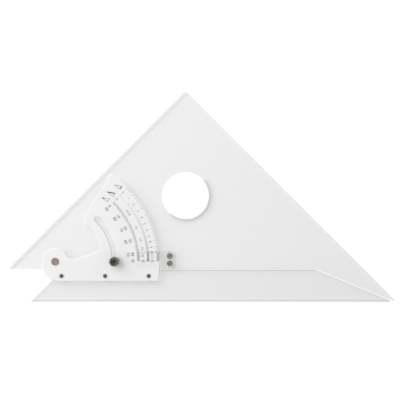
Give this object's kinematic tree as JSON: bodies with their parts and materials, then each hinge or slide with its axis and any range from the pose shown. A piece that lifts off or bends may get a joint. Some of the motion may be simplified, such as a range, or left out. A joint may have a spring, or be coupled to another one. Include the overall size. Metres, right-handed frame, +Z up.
{
  "type": "adjustable set square",
  "caption": "Clear adjustable set square: a 45 degree triangle with a finger hole swings against a straight bar, read on a slotted protractor and held by a knurled knob.",
  "frame": {"origin": "on the drawing surface, under the middle of the closed square's box", "axes": "+X along the long drawing edge, away from the pivot; +Y across it, towards the right-angled corner; +Z up from the paper"},
  "size_m": [0.3274, 0.1796, 0.0128],
  "materials": {
    "clear_acrylic": "polished clear acrylic",
    "milky_acrylic": "translucent white, satin",
    "brass": "rolled, slightly dulled",
    "copper": "rolled copper-coloured brass",
    "dark_metal": "dark bronze, knurled",
    "slip_plastic": "plain",
    "ink": "screen-printed scale ink"
  },
  "bodies": {
    "base": {"base_bar": "clear_acrylic", "protractor_plate": "milky_acrylic", "pivot_eyelet": "copper", "pivot_washer": "brass", "pivot_shim": "slip_plastic", "bar_rivet_left": "brass", "bar_rivet_middle": "brass", "bar_rivet_right": "brass", "bar_washer_left": "brass", "bar_washer_middle": "brass", "bar_washer_right": "brass"},
    "blade": {"blade": "clear_acrylic", "cursor_spacer": "clear_acrylic", "cursor_plate": "clear_acrylic", "cursor_rivet_upper": "brass", "cursor_rivet_lower": "brass", "cursor_washer_upper": "brass", "cursor_washer_lower": "brass", "clamp_screw": "dark_metal", "clamp_shim": "slip_plastic"},
    "knob_foot": {"knob_washer": "dark_metal"},
    "knob": {"clamp_knob": "dark_metal"}
  },
  "joints": [
    {"name": "blade_swing", "type": "hinge", "parent": "base", "child": "blade", "pos_m": [-0.12394, -0.0551, 0], "axis": [0, 0, 1], "range_deg": [0, 45]},
    {"name": "knob_lift", "type": "slide", "parent": "blade", "child": "knob_foot", "axis": [0, 0, 1], "range_m": [0, 0.0007]},
    {"name": "knob_turn", "type": "hinge", "parent": "knob_foot", "child": "knob", "pos_m": [-0.07324, -0.05466, 0], "axis": [0, 0, 1], "range_deg": [0, 360]}
  ],
  "couplings": [
    {"joint": "knob_turn", "follows": "knob_lift", "rad_per_m": 8976}
  ]
}
